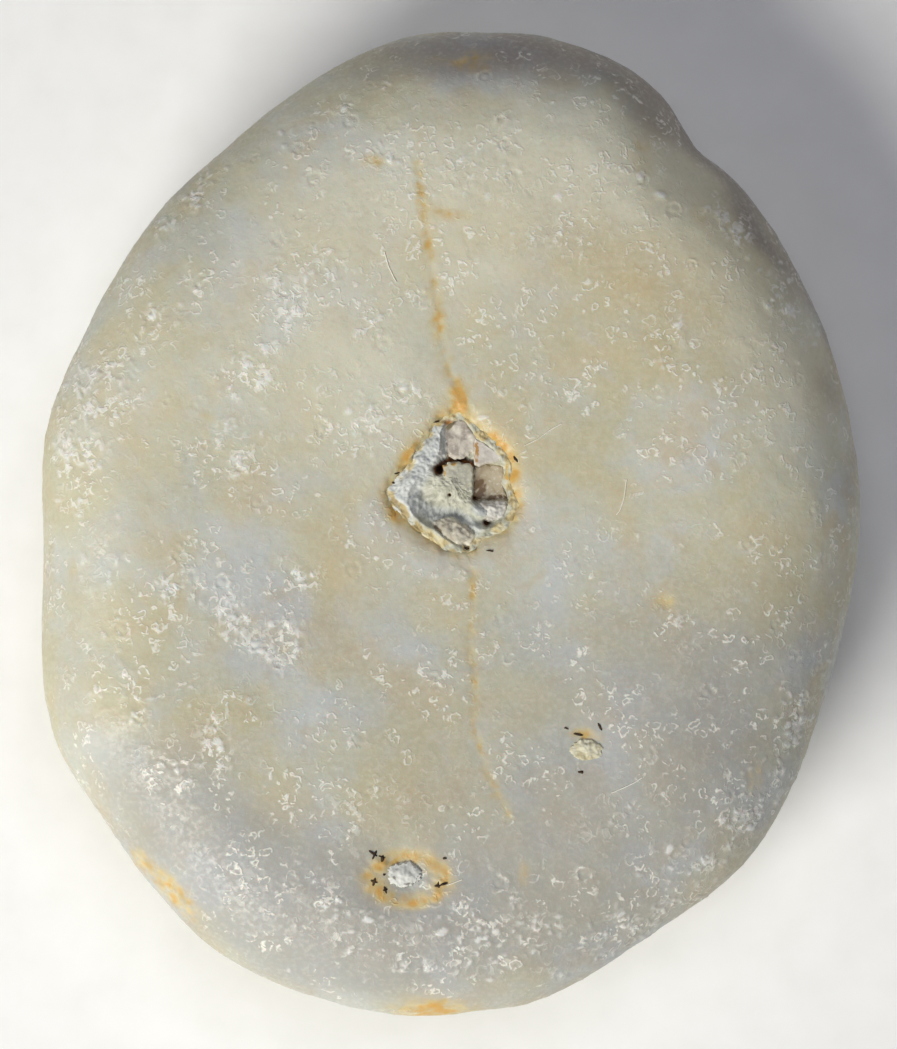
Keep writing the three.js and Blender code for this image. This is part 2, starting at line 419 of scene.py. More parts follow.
tubercle_relief = np.append(dice.uniform(0, 1, len(spread)) ** 2.2, np.ones(len(clear)))

# Crusted places, where the surface is eaten into grains. Each is [x, y, half-width, half-length, turn,
# strength].
CRUSTS = [
    (-4.75, -2.5, 1.0, 0.5, -25, 1.2), (-3.7, -1.2, 0.6, 0.4, 0, 1.0), (-6.4, -1.7, 0.8, 0.4, -20, 0.7),
    (-5.4, -4.3, 0.9, 0.35, -10, 0.7), (-5.7, -5.5, 0.5, 0.6, 0, 0.7), (-6.7, -6.1, 0.7, 0.3, -50, 0.5),
    (-4.2, -3.2, 0.6, 0.3, -30, 0.5), (-8.4, -1.6, 0.5, 1.2, 0, 0.4), (-3.4, 6.0, 0.8, 0.5, 30, 1.0),
    (-3.8, 4.9, 0.5, 0.5, 0, 0.8), (-2.0, 4.9, 0.4, 0.4, 0, 0.6), (-1.0, 3.1, 0.6, 0.3, -20, 0.6),
    (-6.9, 4.9, 1.3, 0.4, 38, 0.75), (-8.4, 3.2, 0.6, 1.1, -25, 0.8), (-9.0, 1.6, 0.5, 1.3, 0, 0.7),
    (-5.2, 1.5, 1.1, 0.8, 0, 0.45), (-4.9, 3.6, 0.8, 0.7, 20, 0.7), (-0.2, -10.2, 2.2, 0.8, 0, 0.5),
    (-2.9, -9.3, 1.3, 0.6, -30, 0.45), (1.4, -9.6, 0.9, 0.6, 0, 0.4), (5.6, -8.6, 1.3, 0.5, 35, 0.4),
    (7.4, -6.7, 1.2, 0.5, 55, 0.5), (8.5, -4.4, 0.5, 1.2, -12, 0.5), (6.9, 7.0, 1.3, 0.35, -50, 0.45),
    (8.2, 5.2, 0.4, 0.9, 25, 0.5), (3.6, -10.1, 1.2, 0.5, 25, 0.35), (-1.9, 2.4, 0.8, 0.7, 0, 0.35),
    (0.2, 8.2, 1.6, 0.7, 0, 0.25), (-1.6, 8.8, 0.6, 0.4, 0, 0.5), (2.6, 6.9, 0.9, 0.6, 0, 0.4),
    (5.4, 4.4, 0.6, 0.7, 30, 0.35), (-6.3, 7.8, 0.9, 0.3, 45, 0.5), (-2.4, 10.2, 1.4, 0.4, 22, 0.4),
    (-7.9, -3.9, 0.7, 1.4, 15, 0.4), (-0.3, -1.6, 0.7, 0.4, 0, 0.5), (1.2, 3.3, 0.6, 0.5, 0, 0.25),
    (-2.0, -7.2, 1.4, 0.9, 0, 0.4), (4.0, -7.4, 0.9, 0.6, 0, 0.35), (6.0, -2.6, 0.8, 0.7, 0, 0.3),
]


def crust_on(points):
    """How crusted the mouth side is at each place, broken up by a coarse random pattern."""
    broken_up = 0.35 + 1.3 * smoothstep(rough(points, 0.7, 21, 2), -0.35, 0.45)
    return np.clip(patches(points, CRUSTS) * broken_up, 0, 1) * (points[:, 2] > FACE)


# White dabs of bruised calcite stand a little proud: the clearest ones listed, each [x, y, half-length,
# half-width, turn in degrees], and a random crowd of them on the crusted places.
FLAKES = [
    (-4.52, 4.2, 0.24, 0.19, 30), (-4.42, 3.52, 0.17, 0.13, 0), (5.52, 4.8, 0.26, 0.14, 62),
    (-4.2, 5.8, 0.2, 0.07, 75), (-3.5, 5.9, 0.18, 0.06, 80), (-1.1, 3.28, 0.15, 0.12, 0),
    (-2.32, 1.66, 0.14, 0.05, -60), (-2.45, 2.7, 0.12, 0.1, 0), (-3.2, 3.25, 0.14, 0.04, 65),
    (-5.14, 1.45, 0.16, 0.1, 40), (5.1, 7.95, 0.16, 0.1, -20), (0.3, 2.85, 0.13, 0.1, 0),
    (0.75, 2.55, 0.18, 0.06, 5), (-5.51, -2.13, 0.2, 0.08, 10), (-5.31, -2.45, 0.12, 0.09, 0),
    (-5.06, -2.62, 0.16, 0.1, -60), (-4.74, -2.94, 0.14, 0.1, 20), (-4.57, -3.1, 0.2, 0.08, -10),
    (-4.33, -2.45, 0.14, 0.1, -40), (5.3, -7.9, 0.16, 0.1, 60), (-3.88, -2.45, 0.12, 0.1, 60),
    (-3.72, -2.66, 0.16, 0.07, -45), (-5.47, -2.7, 0.1, 0.08, 0), (-3.7, -1.2, 0.15, 0.1, 0),
    (-6.6, -6.0, 0.2, 0.07, -50), (-5.6, -5.3, 0.14, 0.1, -30), (2.6, 7.9, 0.12, 0.09, 0),
    (4.6, 8.4, 0.12, 0.1, 0), (6.6, -7.2, 0.16, 0.1, 40), (7.3, -7.4, 0.15, 0.1, 0),
    (8.2, -5.1, 0.12, 0.1, 0), (-0.2, -9.9, 0.2, 0.12, 30), (0.7, -10.1, 0.2, 0.12, -30),
    (-2.0, -9.6, 0.2, 0.1, -20), (1.1, -9.9, 0.12, 0.1, 0), (-7.2, 5.0, 0.16, 0.1, 30),
]
FLAKE_WHITENESS = 0.75
DAB_COUNT = 1300
centres = centres_of(shell_bm)
crowding = crust_on(centres) ** 1.3 * (0.1 + smoothstep(rough(centres, 0.35, 81), -0.1, 0.4))
crowding *= np.linalg.norm(centres[:, :2] - VENT, axis=1) > 1.1
picked = dice.choice(len(centres), size=DAB_COUNT, p=crowding / crowding.sum())
dabs = np.column_stack([
    centres[picked, :2] + dice.uniform(-0.06, 0.06, (DAB_COUNT, 2)),
    dice.uniform(0.05, 0.15, DAB_COUNT),
    dice.uniform(0.035, 0.08, DAB_COUNT),
    dice.uniform(0, 180, DAB_COUNT),
    dice.uniform(0.3, 0.9, DAB_COUNT) * (0.55 + 0.6 * crust_on(centres[picked])),
])
dabs = np.vstack([dabs, np.column_stack([FLAKES, np.full(len(FLAKES), FLAKE_WHITENESS)])])


def dab_reach(points):
    """How far each point is from its nearest dab's middle, as a share of its half-widths, and how white
    that dab is."""
    which = nearest(points, dabs[:, :2])[1]
    x, y, along, across, turn, strength = dabs[which].T
    dx, dy, turn = points[:, 0] - x, points[:, 1] - y, np.radians(turn)
    u, v = np.cos(turn) * dx + np.sin(turn) * dy, -np.sin(turn) * dx + np.cos(turn) * dy
    return np.hypot(u / along, v / across) * (1 + 0.35 * rough(points, 0.09, 83)), strength


def needs_detail(centres):
    """Where the net is split once more: spine bases, pores, dabs, seams and round the openings."""
    distance, which = nearest(centres, tubercles)
    flat = centres[:, :2]
    top = centres[:, 2] > MARGIN
    spines = (distance < 1.4 * tubercle_sizes[which]) & (tubercle_relief[which] > 0.45) & top
    seam = np.minimum(from_line(centres, FRONT_SEAM), from_line(centres, BACK_SEAM)) < 0.18
    mouth = np.linalg.norm(flat - MOUTH, axis=1) < 2.1
    vent = np.linalg.norm(flat - VENT, axis=1) < 1.2
    pit = np.linalg.norm(flat - PIT, axis=1) < 0.8
    pores = (nearest(centres, PORES)[0] < 0.12) & (centres[:, 2] < DOME)
    dabbed = dab_reach(centres)[0] < 1.4
    return spines | pores | (top & (seam | mouth | vent | pit | dabbed))


split(shell_bm, needs_detail)
bmesh.ops.triangulate(shell_bm, faces=shell_bm.faces)
shell_mesh = meshed(shell_bm, "shell")


def rim_distance(points):
    """How far each point lies outside the mouth's rim, along the line from the mouth's middle."""
    arms = np.array(MOUTH_RIM) - MOUTH
    turns = np.arctan2(arms[:, 1], arms[:, 0])
    order = np.argsort(turns)
    away = points[:, :2] - MOUTH
    around = np.arctan2(away[:, 1], away[:, 0])
    rim = np.interp(around, turns[order], np.linalg.norm(arms, axis=1)[order], period=2 * math.pi)
    return np.linalg.norm(away, axis=1) - rim


points, normals = read_points(shell_mesh), read_normals(shell_mesh)
top = smoothstep(points[:, 2], 3.0, 4.2)
below = 1 - smoothstep(points[:, 2], 1.8, 2.6)
outside = rim_distance(points)

# The broken rim of the mouth.
away = points[:, :2] - MOUTH
arm = away / np.maximum(np.linalg.norm(away, axis=1), 1e-6)[:, None]
upright = points * [1, 1, 0.2]
ragged = 0.08 * rough(upright, 0.13, 3) + 0.09 * rough(upright, 0.3, 9)
points[:, :2] += arm * (top * ragged * band(outside, 0, 0.2))[:, None]

# A nick in the margin at the front right.
nick = 0.16 * spot(points, 6.05, 9.5, 0.85) + 0.07 * spot(points, 6.2, 9.15, 0.35)
points[:, :2] -= nick[:, None] * [0.76, 0.65]

# Waves of growth and wear.
height = 0.06 * rough(points, 3.2, 1) + 0.02 * rough(points, 1.1, 2) + 0.011 * rough(points, 0.35, 4, 2)

# Spine bases, worn uneven.
distance, which = nearest(points, tubercles)
reach = distance / tubercle_sizes[which] * (1 + 0.22 * rough(points, 0.16, 6))
relief = tubercle_relief[which] * np.where(points[:, 2] < 3, 0.5, 0.8)
relief *= 0.4 + 0.6 * smoothstep(rough(points, 0.25, 8), -0.3, 0.3)
boss_ring = 0.02 * band(reach, 0, 0.42) - 0.022 * band(reach, 0.7, 0.22) + 0.018 * band(reach, 1.15, 0.2)
height += relief * boss_ring

# Crusts eaten into grains, and the dabs that stand proud on them.
crust = crust_on(points)
height += crust * (0.02 * rough(points, 0.2, 31) + 0.014 * rough(points, 0.11, 32) - 0.008)
reach_dab, whiteness = dab_reach(points)
whiteness = whiteness * (points[:, 2] > FACE)
height += 0.03 * whiteness * (1 - smoothstep(reach_dab, 0.35, 1.2))
fleck = whiteness * (1 - smoothstep(reach_dab, 0.5, 1.25))

# Seams between plates, the hollow round the mouth, the vent with a knob on each side, and a dimple.
seam = np.minimum(from_line(points, FRONT_SEAM), from_line(points, BACK_SEAM))
seam *= 1 + 0.4 * rough(points, 0.3, 43)
mouth_side = (top > 0.5) * 1.0
height -= mouth_side * (0.012 * band(seam, 0, 0.08) + 0.03 * band(outside, 0.1, 0.35))
height += mouth_side * (0.3 * spot(points, *VENT, 0.45, 0.32) - 0.05 * spot(points, *DIMPLE, 0.2))
height += mouth_side * 0.035 * band(np.abs(outside), 0, 0.25) * rough(points, 0.14, 41)
knobs = spot(points, -1.7, -8.25, 0.3, 0.25) + spot(points, -0.45, -8.6, 0.3, 0.35)
height += 0.05 * knobs * (0.5 + rough(points, 0.15, 44))

# Pore pairs and gonopores.
pore = below * (band(nearest(points, PORES)[0], 0, 0.055) + band(nearest(points, GONOPORES)[0], 0, 0.09))
height -= 0.06 * pore

# The flat that the shell rests on stays flat between its pores.
height *= 1 - spot(points, 0, 0, 2.6) * (points[:, 2] < 0.3) * (1 - np.clip(pore, 0, 1))
points += normals * height[:, None]
points[:, 2] = np.maximum(points[:, 2], 0)
set_points(shell_mesh, points)

# Ochre that has soaked in round the mouth, the vent and the pit, along the seams, and here and there
# on the margin.
OCHRE = [
    (0.24, 2.95, 0.16, 0.24, 0, 1.3), (0.15, 3.2, 0.24, 0.3, 0, 0.5), (-0.72, 7.9, 0.12, 0.6, 4, 0.6),
    (1.55, 1.0, 0.2, 0.7, 0, 0.5), (-1.85, 8.75, 0.4, 0.22, 0, 0.6), (0.05, 7.45, 0.5, 0.16, -8, 0.7),
    (-0.35, 5.2, 0.3, 1.8, 4, 0.2), (1.8, -8.5, 0.25, 0.45, 0, 0.4), (-0.4, -11.9, 1.0, 0.35, 0, 1.1),
    (-6.7, -9.0, 0.9, 0.3, -48, 0.9), (-7.6, -8.2, 0.4, 0.25, -48, 0.5), (0.6, 11.2, 0.6, 0.35, 0, 0.5),
    (4.6, 9.0, 0.4, 0.7, 0, 0.4), (-2.9, -1.2, 0.25, 0.8, 0, 0.3), (7.4, -6.2, 0.35, 0.5, 0, 0.4),
    (3.12, -5.05, 0.27, 0.2, 0, 0.6), (3.4, -5.2, 0.3, 0.2, 0, 0.5), (5.22, -1.9, 0.2, 0.18, 0, 0.9),
    (5.1, -2.02, 0.3, 0.24, 0, 0.4), (-4.0, -3.05, 0.16, 0.12, 0, 0.6), (1.1, 1.95, 0.4, 0.22, -38, 0.7),
    (-1.1, 1.6, 0.28, 0.16, 48, 0.5), (-1.4, 0.2, 0.25, 0.25, 0, 0.55), (-5.9, 2.6, 0.3, 0.25, 0, 0.3),
    (-5.9, 2.1, 0.14, 0.3, 0, 0.3), (-9.2, -1.2, 0.2, 0.4, 0, 0.4), (-0.4, 11.2, 0.9, 0.2, 0, 0.3),
    (6.1, 7.4, 0.3, 0.5, 35, 0.35), (-3.4, 9.2, 0.5, 0.25, 30, 0.3),
]
vent_reach = np.hypot((points[:, 0] - VENT[0] - 0.1) / 0.95, (points[:, 1] - VENT[1] + 0.08) / 0.62)
ochre = patches(points, OCHRE) + 0.65 * band(vent_reach, 0.9, 0.33) + 0.35 * band(outside, 0.1, 0.2)
seam_ochre = 0.3 * band(seam, 0, 0.09) + 0.35 * band(seam, 0, 0.26)
ochre += seam_ochre * (0.5 + 0.5 * smoothstep(rough(points, 0.6, 55), -0.4, 0.3))
ochre *= 0.95 + 0.75 * rough(points, 0.2, 51, 2)
ochre = (ochre + 0.3 * band(outside, 0.1, 0.4) + 0.22 * band(vent_reach, 0.85, 0.5)) * mouth_side

# Slow changes of tone over the mouth side: warmer and yellower, greyer and paler places. The paler ones are
# partly painted light that lifts the shade inside the front and right of the margin, and painted shade
# darkens the margin itself at the front and right.
WARM = [
    (5.0, 7.0, 2.4, 2.8, 0, 0.4), (2.0, 7.0, 5.0, 3.0, 0, 0.25), (1.3, 1.5, 1.5, 1.5, 0, 0.4),
    (-2.3, 0.4, 1.3, 1.6, 0, 0.35), (-3.2, 6.8, 2.2, 1.6, 35, 0.25), (0.2, -1.6, 1.0, 0.9, 0, 0.3),
    (-3.2, -1.4, 0.6, 1.2, 0, 0.3), (7.0, 3.6, 1.2, 2.4, 0, 0.25), (6.4, 6.4, 3.2, 1.3, -55, 0.35),
    (1.6, 6.6, 3.4, 2.2, 0, 0.2),
]
GREY = [
    (4.4, -3.8, 3.4, 3.2, 0, 0.55), (4.6, -8.6, 3.2, 2.4, 35, 0.45), (-1.2, -9.4, 4.6, 2.0, 0, 0.75),
    (-5.2, -8.0, 3.2, 2.4, -45, 0.6), (-0.6, -11.0, 4.6, 1.3, 0, 0.35), (-7.4, -6.6, 1.6, 1.8, -30, 0.45),
    (1.6, -6.8, 2.4, 1.6, 0, 0.3), (-3.8, -2.2, 1.8, 1.2, -15, 0.4), (-1.2, -4.2, 2.0, 2.0, 0, 0.3),
    (7.0, -4.6, 1.8, 3.0, -10, 0.45), (-9.2, -3.6, 0.8, 3.0, 8, 0.3),
]
# Paler places, partly paler calcite and partly painted light: the broad ones at the front, the front right
# and the right lift the shade that falls inside that margin.
PALE_AND_PAINTED_LIGHT = [
    (-3.2, 5.0, 2.8, 2.4, 0, 0.4), (0.9, 5.9, 0.9, 0.6, 0, 0.4), (-1.7, 3.9, 0.9, 0.6, -20, 0.35),
    (8.6, 2.0, 0.9, 3.4, 5, 0.4), (0.5, 2.0, 5.0, 4.0, 0, 0.12), (0.8, 8.4, 6.0, 2.2, 0, 0.75),
    (-7.6, 3.2, 2.0, 3.0, 0, 0.3), (-2.4, 2.6, 3.0, 2.6, 0, 0.4), (4.8, 8.2, 2.6, 1.2, -50, 0.75),
    (7.7, 4.4, 2.6, 1.1, -62, 0.7), (-8.8, -2.0, 1.4, 6.0, 0, 0.4),
]
# Painted shade: a purple-grey darkening of the margin at the front, the front right and the right, and
# weakly at the front left, where the light turns away.
PAINTED_MARGIN_SHADE = [
    (1.4, 11.4, 4.6, 0.9, 0, 0.8), (7.5, 7.3, 3.2, 0.5, -56, 0.9), (5.2, 10.0, 1.6, 0.6, -40, 0.7),
    (9.8, 2.6, 0.4, 3.0, 14, 0.5), (-5.6, 9.3, 2.6, 0.5, 42, 0.35),
]


def tone_on(points):
    """The tone attributes of the mouth side, with wavering edges."""
    shifts = [rough(points, 1.3, 91), rough(points, 1.3, 92), 0 * points[:, 0]]
    moved = points + 0.5 * np.column_stack(shifts)
    mouth_side = smoothstep(points[:, 2], 2.5, 4.0)
    tones = {"warm": WARM, "grey": GREY, "pale": PALE_AND_PAINTED_LIGHT, "dusk": PAINTED_MARGIN_SHADE}
    return {name: patches(moved, places) * mouth_side for name, places in tones.items()}


set_attributes(
    shell_mesh, ring=relief * band(reach, 1.1, 0.2), boss=relief * band(reach, 0, 0.4), crust=crust,
    fleck=fleck, ochre=0.8 * ochre, pore=pore, deep=np.clip(-outside / 0.1, 0, 1) * top, **tone_on(points),
)

# Worn fossil calcite: milky and slightly see-through, clouded cream, grey and buff, with a soft gloss on
# its grains. Iron has stained it ochre along its seams and round its openings. Its pale patches are partly
# painted light, and a dusky purple-grey on the margin is painted shade.
SMOOTH = {"interpolation_type": "SMOOTHSTEP"}
TINTED = {"data_type": "RGBA", "clamp_factor": True}
calcite = material("worn_fossil_calcite")
place = node(calcite, "ShaderNodeTexCoord")
mm_place = node(calcite, "ShaderNodeMapping", Vector=(place, "Object"), Scale=(1000, 1000, 1000))
BLOTS = (  # size of a blot in mm, detail and swirl
    (1.3, 3, 0.3), (0.5, 3, 0.6), (0.8, 2, 0.5), (0.06, 3, 0), (0.1, 2, 1), (0.7, 3, 0.4),
)
clouds, blots, tints, grain, breaks, groups = (
    node(calcite, "ShaderNodeTexNoise", Vector=mm_place, Scale=0.5 / size, Detail=detail, Distortion=swirl)
    for size, detail, swirl in BLOTS
)
DRIVERS = ("warm", "grey", "pale", "dusk", "ring", "boss", "crust", "fleck", "ochre", "pore", "deep")
warm, grey, pale, dusk, ring, boss, crusted, flecked, tint_mask, pitted, deep = (
    (node(calcite, "ShaderNodeAttribute", {"attribute_name": name}), "Fac") for name in DRIVERS
)

# Bruised calcite turns white in lacy curls and dabs, which crowd together on the crusted places.
CURL = 0.36  # mm across a curl
MULTIPLY = {"operation": "MULTIPLY"}
bent = node(calcite, "ShaderNodeTexNoise", Vector=mm_place, Scale=3, Detail=2)
bent = node(
    calcite, "ShaderNodeVectorMath", {"operation": "MULTIPLY_ADD"}, Vector=(bent, "Color"),
    Vector_001=(0.5, 0.5, 0.5), Vector_002=mm_place,
)
curls = node(calcite, "ShaderNodeTexVoronoi", Vector=bent, Scale=1 / CURL)
CURL_LINE = {"stops": [(0.2, "#000000"), (0.34, "#FFFFFF"), (0.48, "#000000")]}
curls = node(calcite, "ShaderNodeValToRGB", CURL_LINE, Fac=curls)
whole = node(calcite, "ShaderNodeMapRange", SMOOTH, Value=breaks, From_Min=0.44, From_Max=0.56)
crowded = node(
    calcite, "ShaderNodeMapRange", SMOOTH, Value=groups, From_Min=0.42, From_Max=0.62, To_Min=0.2,
    To_Max=0.9,
)
ADD = {"operation": "ADD", "use_clamp": True}
crowded = node(calcite, "ShaderNodeMath", ADD, Value=crowded, Value_001=crusted)
curls = node(calcite, "ShaderNodeMath", MULTIPLY, Value=curls, Value_001=whole)
curls = node(calcite, "ShaderNodeMath", MULTIPLY, Value=curls, Value_001=crowded)
bruises = node(calcite, "ShaderNodeMapRange", SMOOTH, Value=breaks, From_Min=0.5, From_Max=0.62)
bruises = node(calcite, "ShaderNodeMath", MULTIPLY, Value=bruises, Value_001=crusted)
ring_wear = node(calcite, "ShaderNodeMath", MULTIPLY, Value=whole, Value_001=ring)
LARGER = {"operation": "MAXIMUM"}
lace = node(calcite, "ShaderNodeMath", LARGER, Value=curls, Value_001=bruises)
lace = node(calcite, "ShaderNodeMath", LARGER, Value=lace, Value_001=ring_wear)
ochres = node(calcite, "ShaderNodeTexNoise", Vector=mm_place, Scale=2.5, Detail=3)
OCHRE_TONES = {"stops": [(0.35, "#C2A462"), (0.5, "#CDB67C"), (0.68, "#D4C494")]}
ochres = node(calcite, "ShaderNodeValToRGB", OCHRE_TONES, Fac=ochres)
CALCITE_TONES = {"stops": [(0.36, "#C3BD9C"), (0.5, "#C5C3AC"), (0.64, "#C6C9C5")]}
colour = node(calcite, "ShaderNodeValToRGB", CALCITE_TONES, Fac=clouds)
LAYERS = [  # what drives it, its value for none and for all, how much at most, and its colour
    (tints, 0.5, 0.7, 0.5, "#CBBB96"), (tints, 0.48, 0.28, 0.5, "#BBC0BC"),
    (blots, 0.5, 0.72, 0.45, "#C2B28E"), (blots, 0.46, 0.3, 0.35, "#C4C4C2"),
    # The pale tint below is partly painted light, and the dusky purple-grey is painted shade on the margin.
    (warm, 0, 1, 0.8, "#C6B27C"), (grey, 0, 1, 0.8, "#9A9A9A"), (pale, 0, 1, 0.8, "#DCDAC4"),
    (dusk, 0, 1, 0.8, "#857A78"), (grain, 0.45, 0.75, 0.2, "#DAD6C6"),
    (grain, 0.5, 0.25, 0.15, "#A9A593"), (lace, 0, 1, 0.9, "#EDEBE0"), (boss, 0, 1, 0.35, "#DEDBCC"),
    (flecked, 0.1, 0.9, 0.85, "#E8E8E3"), (tint_mask, 0.04, 0.7, 0.9, ochres),
    (tint_mask, 0.5, 1, 0.85, "#D09E42"), (pitted, 0.1, 0.9, 0.8, "#6F5A3A"),
    (deep, 0.2, 1, 0.8, "#A98F62"),
]
for driver, none, full, most, tint in LAYERS:
    amount = node(
        calcite, "ShaderNodeMapRange", SMOOTH, Value=driver, From_Min=none, From_Max=full, To_Max=most,
    )
    colour = node(calcite, "ShaderNodeMix", TINTED, Factor=amount, A=colour, B=tint)
bumps = node(calcite, "ShaderNodeBump", Height=grain, Strength=0.25, Distance=0.03 * MM)
bumps = node(calcite, "ShaderNodeBump", Height=blots, Strength=0.2, Distance=0.05 * MM, Normal=bumps)
bumps = node(calcite, "ShaderNodeBump", Height=lace, Strength=0.4, Distance=0.03 * MM, Normal=bumps)
polish = node(
    calcite, "ShaderNodeMapRange", SMOOTH, Value=grain, From_Min=0.3, From_Max=0.7, To_Min=0.62, To_Max=0.4,
)
shader = node(
    calcite, "ShaderNodeBsdfPrincipled", Base_Color=colour, Roughness=polish, Normal=bumps, IOR=1.55,
    Subsurface_Weight=0.2, Subsurface_Scale=0.3 * MM,
)
node(calcite, "ShaderNodeOutputMaterial", Surface=shader)
piece("shell", shell_mesh, calcite, "test")


# Black-brown strokes of manganese and root dirt cling round the vent, the mouth and the pit. Each
# is [x, y, half-length, half-width, turn in degrees].
DIRT = [
    (-1.88, -7.99, 0.13, 0.04, -35), (-1.84, -8.03, 0.13, 0.04, 65), (-1.65, -8.12, 0.1, 0.06, 80),
    (-1.66, -8.08, 0.09, 0.03, -15), (-1.85, -8.69, 0.12, 0.05, 75), (-1.85, -8.68, 0.1, 0.05, -20),
    (-1.58, -8.88, 0.1, 0.045, -75), (-1.58, -8.88, 0.07, 0.04, 5), (-1.61, -8.51, 0.04, 0.04, 0),
    (-0.14, -8.11, 0.05, 0.05, 0), (-0.32, -8.79, 0.08, 0.045, -10), (-0.3, -8.75, 0.11, 0.04, 85),
    (-0.17, -8.74, 0.12, 0.045, 20), (-1.39, -8.6, 0.09, 0.06, -50), (-1.3, 1.2, 0.08, 0.03, 12),
    (-1.38, 0.97, 0.05, 0.03, 0), (-0.34, 2.45, 0.08, 0.03, 15), (1.57, 1.54, 0.09, 0.04, -55),
    (0.95, -0.68, 0.1, 0.03, -2), (0.4, -0.62, 0.08, 0.08, 0), (3.61, -4.93, 0.11, 0.035, -65),
    (3.09, -5.12, 0.13, 0.04, -12), (2.79, -4.97, 0.06, 0.025, -20), (3.15, -6.03, 0.07, 0.05, 0),
]
DIRT_THICKNESS = 0.03
top_points = points[points[:, 2] > FACE]
top_normals = read_normals(shell_mesh)[points[:, 2] > FACE]
top_tree = KDTree(len(top_points))
for index, point in enumerate(top_points):
    top_tree.insert((point[0], point[1], 0), index)
top_tree.balance()


def on_face(x, y):
    """The point of the mouth side over (x, y) and the direction it faces."""
    index = top_tree.find((x, y, 0))[1]
    return Vector((x, y, top_points[index][2])), Vector(top_normals[index])


dirt_bm = bmesh.new()
for x, y, along, across, turn in DIRT:
    point, normal = on_face(x, y)
    stand = Matrix.Translation(point) @ Vector((0, 0, 1)).rotation_difference(normal).to_matrix().to_4x4()
    sizes = Matrix.Diagonal((along, 0.75 * across, DIRT_THICKNESS, 1))
    shape = Matrix.Scale(MM, 4) @ stand @ Matrix.Rotation(math.radians(turn), 4, "Z") @ sizes
    bmesh.ops.create_icosphere(dirt_bm, subdivisions=2, radius=1, matrix=shape)
dirt_mesh = meshed(dirt_bm, "dirt_strokes")
spots = read_points(dirt_mesh)
lumpy = np.column_stack([rough(spots, 0.06, seed) for seed in (67, 68, 69)])
set_points(dirt_mesh, spots + lumpy * [0.02, 0.02, 0.004])
dirt = material("manganese_dirt")
place = node(dirt, "ShaderNodeTexCoord")
smear = node(dirt, "ShaderNodeTexNoise", Vector=(place, "Object"), Scale=8000, Detail=2)
colour = node(dirt, "ShaderNodeValToRGB", {"stops": [(0.35, "#221810"), (0.65, "#4A3720")]}, Fac=smear)
shader = node(dirt, "ShaderNodeBsdfPrincipled", Base_Color=colour, Roughness=0.85)
node(dirt, "ShaderNodeOutputMaterial", Surface=shader)
piece("dirt_strokes", dirt_mesh, dirt)


# A few pale hairs of lint lie on the mouth side, each drawn through [x, y] places.
HAIRS = [
    [(1.77, 1.86), (2.1, 2.02), (2.4, 2.24), (2.68, 2.4)],
    [(4.26, 1.05), (4.2, 0.6), (4.1, 0.3), (4.02, 0.2)],
    [(-1.6, 6.55), (-1.5, 6.2), (-1.38, 5.95), (-1.31, 5.82)],
    [(3.9, -6.53), (4.2, -6.4), (4.45, -6.28), (4.63, -6.16)],
    [(-0.09, -8.77), (0.05, -8.72), (0.2, -8.66), (0.28, -8.63)],
]
HAIR_RADIUS = 0.012
hair_curve = bpy.data.curves.new("hairs", "CURVE")
hair_curve.dimensions = "3D"
hair_curve.bevel_depth = HAIR_RADIUS * MM
hair_curve.bevel_resolution = 1
hair_curve.use_fill_caps = True
for places in HAIRS:
    steps = np.linspace(0, len(places) - 1, 5 * len(places))
    hair = [[np.interp(step, range(len(places)), axis) for axis in zip(*places)] for step in steps]
    strand = hair_curve.splines.new("NURBS")
    strand.points.add(len(hair) - 1)
    strand.use_endpoint_u = True
    strand.order_u = 3
    for control, (x, y) in zip(strand.points, hair):
        point, normal = on_face(x, y)
        control.co = (*((point + 0.6 * HAIR_RADIUS * normal) * MM), 1)
hair_blank = bpy.data.objects.new("hairs", hair_curve)
bpy.context.scene.collection.objects.link(hair_blank)
hair_mesh = evaluated_mesh(hair_blank)
bpy.data.objects.remove(hair_blank)
lint = material("cotton_lint")
place = node(lint, "ShaderNodeTexCoord")
twist = node(lint, "ShaderNodeTexNoise", Vector=(place, "Object"), Scale=3000)
colour = node(lint, "ShaderNodeValToRGB", {"stops": [(0.35, "#E6E2D0"), (0.65, "#F4F1E6")]}, Fac=twist)
shader = node(lint, "ShaderNodeBsdfPrincipled", Base_Color=colour, Roughness=0.7)
node(lint, "ShaderNodeOutputMaterial", Surface=shader)
piece("lint_hairs", hair_mesh, lint)


# The mouth is packed with crumbly lime mud: a white crust up its left wall, a grey trough inside
# that, a paler mass in the middle, a buff rim against the shell, and cracks and holes where it has
# shrunk from the chips in it, rust-brown and darkened with painted shade.
WHITE_CRUST = [
    (-1.2, 0.72, 0.35, 0.4, 0, 1.0), (-0.9, 1.15, 0.4, 0.35, 40, 1.0), (-0.5, 1.6, 0.35, 0.35, 0, 1.0),
    (-0.3, 2.05, 0.28, 0.4, 0, 1.0), (-1.0, 0.25, 0.3, 0.25, 0, 0.6), (0.72, 0.3, 0.3, 0.2, -20, 0.8),
]
TROUGH = [(-0.98, 1.0), (-0.9, 0.72), (-0.84, 0.46), (-0.45, 0.22), (0.11, 0.17), (0.4, 0.02), (0.6, -0.12)]
CRACK = [(-0.28, 1.28), (-0.16, 1.5), (0.1, 1.57), (0.4, 1.49), (0.62, 1.42)]
HOLES = [  # x, y and radius
    (-0.29, 1.27, 0.08), (0.87, 0.0, 0.07), (0.4, -0.6, 0.06), (0.6, 0.6, 0.06), (-0.02, 0.68, 0.03),
]
PACKING_TOP = 5.15  # mm: the packing's own faces above this are its open top


